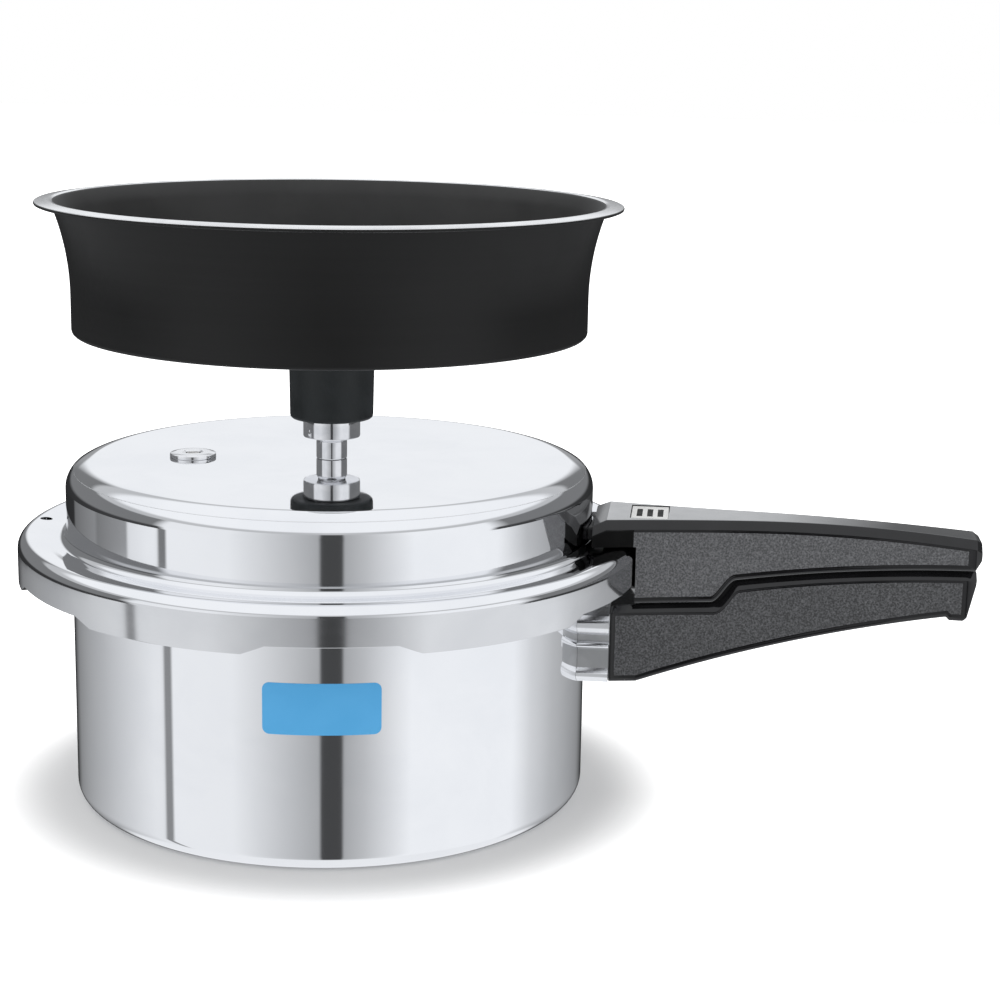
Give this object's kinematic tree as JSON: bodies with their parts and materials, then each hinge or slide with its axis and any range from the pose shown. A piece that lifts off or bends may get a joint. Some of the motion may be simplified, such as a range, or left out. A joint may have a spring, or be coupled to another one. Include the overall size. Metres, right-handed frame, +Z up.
{
  "type": "pressure cooker",
  "caption": "Round pot with a twist-lock outer lid, twin side handles and a spill bowl raised on the lid's vent; cooks food under pressure.",
  "frame": {"origin": "centre of the pot's flat base", "axes": "+Z up along the pot's axis, +X along the handles"},
  "size_m": [0.3708, 0.241, 0.2316],
  "materials": {
    "polished_aluminium": "polished",
    "steel": "turned",
    "black_steel": "satin",
    "bakelite": "moulded, fine grain",
    "satin_black": "satin",
    "rubber": "smooth",
    "brass": "turned",
    "white_plate": "smooth"
  },
  "bodies": {
    "pot": {"pot_body": "polished_aluminium", "pot_bracket": "polished_aluminium", "pot_rivet_1": "steel", "pot_rivet_2": "steel", "pot_handle": "bakelite", "pot_handle_screw": "steel"},
    "seal": {"sealing_ring": "rubber"},
    "lid": {"lid_shell": "polished_aluminium", "lid_bracket": "black_steel", "lid_rivet_1": "steel", "lid_rivet_2": "steel", "lid_handle": "bakelite", "lid_handle_screw": "steel", "lid_handle_plate": "white_plate", "vent_tube": "steel", "vent_nut": "steel", "safety_plug": "steel", "safety_plug_core": "brass", "safety_plug_nut": "steel"},
    "spill_guard": {"neck_bush": "steel", "spill_neck": "satin_black", "spill_bowl": "satin_black", "neck_lock_ring": "steel"},
    "weight": {"weight_body": "steel", "weight_needle": "brass", "weight_cap": "bakelite"}
  },
  "joints": [
    {"name": "lid_lift", "type": "slide", "parent": "pot", "child": "seal", "axis": [0, 0, 1], "range_m": [0, 0.1]},
    {"name": "lid_twist", "type": "hinge", "parent": "seal", "child": "lid", "pos_m": [0, 0, 0.1], "axis": [0, 0, 1], "range_deg": [0, 30]},
    {"name": "spill_guard_lift", "type": "slide", "parent": "lid", "child": "spill_guard", "axis": [0, 0, 1], "range_m": [0, 0.08]},
    {"name": "weight_lift", "type": "slide", "parent": "spill_guard", "child": "weight", "axis": [0, 0, 1], "range_m": [0, 0.05]}
  ]
}
